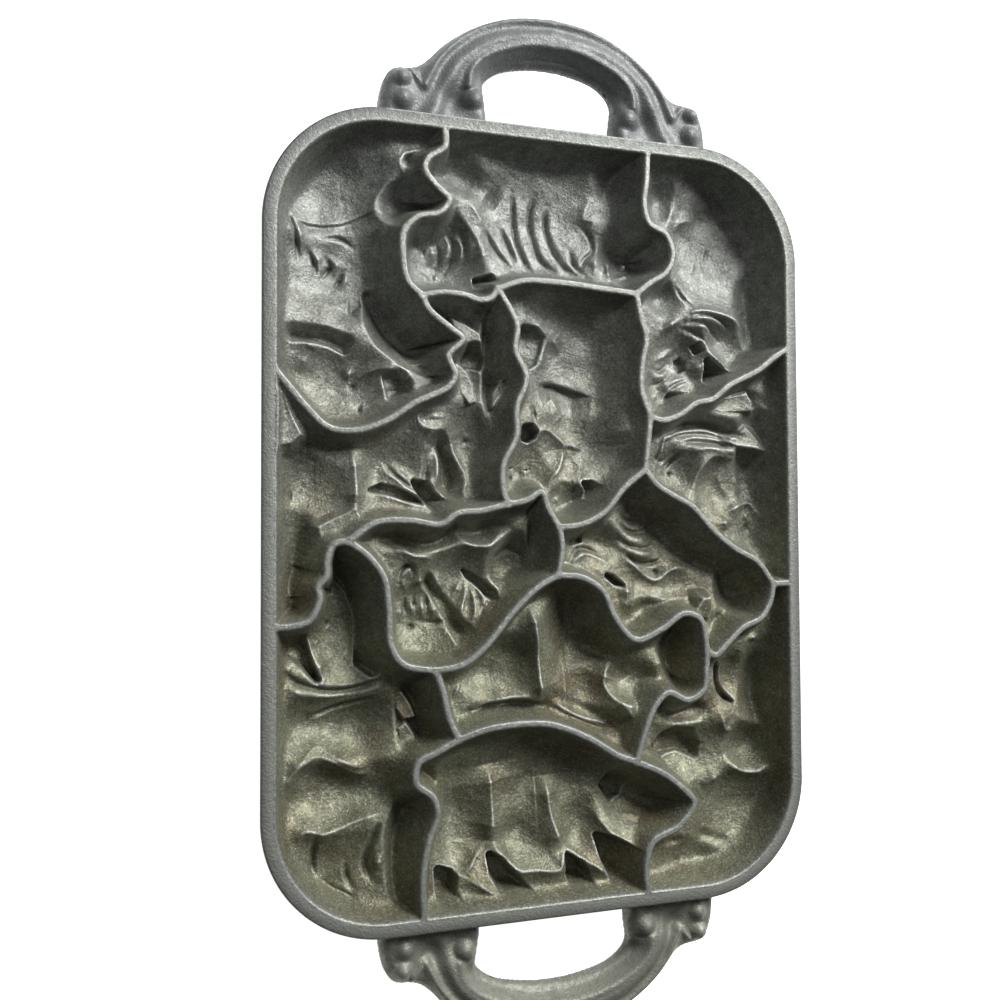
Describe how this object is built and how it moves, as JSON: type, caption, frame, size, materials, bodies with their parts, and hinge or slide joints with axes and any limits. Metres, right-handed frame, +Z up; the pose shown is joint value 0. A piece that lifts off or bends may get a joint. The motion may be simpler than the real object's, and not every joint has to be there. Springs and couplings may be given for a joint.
{
  "type": "animal cookie pan",
  "caption": "Cast iron baking pan with animal shaped moulds packed inside a rounded rectangular rim, with a scrolled loop handle at each end.",
  "frame": {"origin": "middle of the pan, on the plane that its underside rests on", "axes": "+Z up out of the moulds, +Y along the length towards the upper handle in the picture, +X to the right in the picture"},
  "size_m": [0.2054, 0.3644, 0.025],
  "materials": {
    "rim_iron": "worn bright edge",
    "mould_iron": "seasoned, rough cast",
    "handle_iron": "worn, rough cast"
  },
  "bodies": {
    "root": {"rim": "rim_iron", "bison_mould": "mould_iron", "tiger_mould": "mould_iron", "elephant_mould": "mould_iron", "deer_mould": "mould_iron", "hippo_mould": "mould_iron", "goat_mould": "mould_iron", "horse_mould": "mould_iron", "lion_mould": "mould_iron", "rhino_mould": "mould_iron", "camel_mould": "mould_iron", "monkey_mould": "mould_iron", "bear_mould": "mould_iron", "upper_handle": "handle_iron", "lower_handle": "handle_iron"}
  },
  "joints": []
}
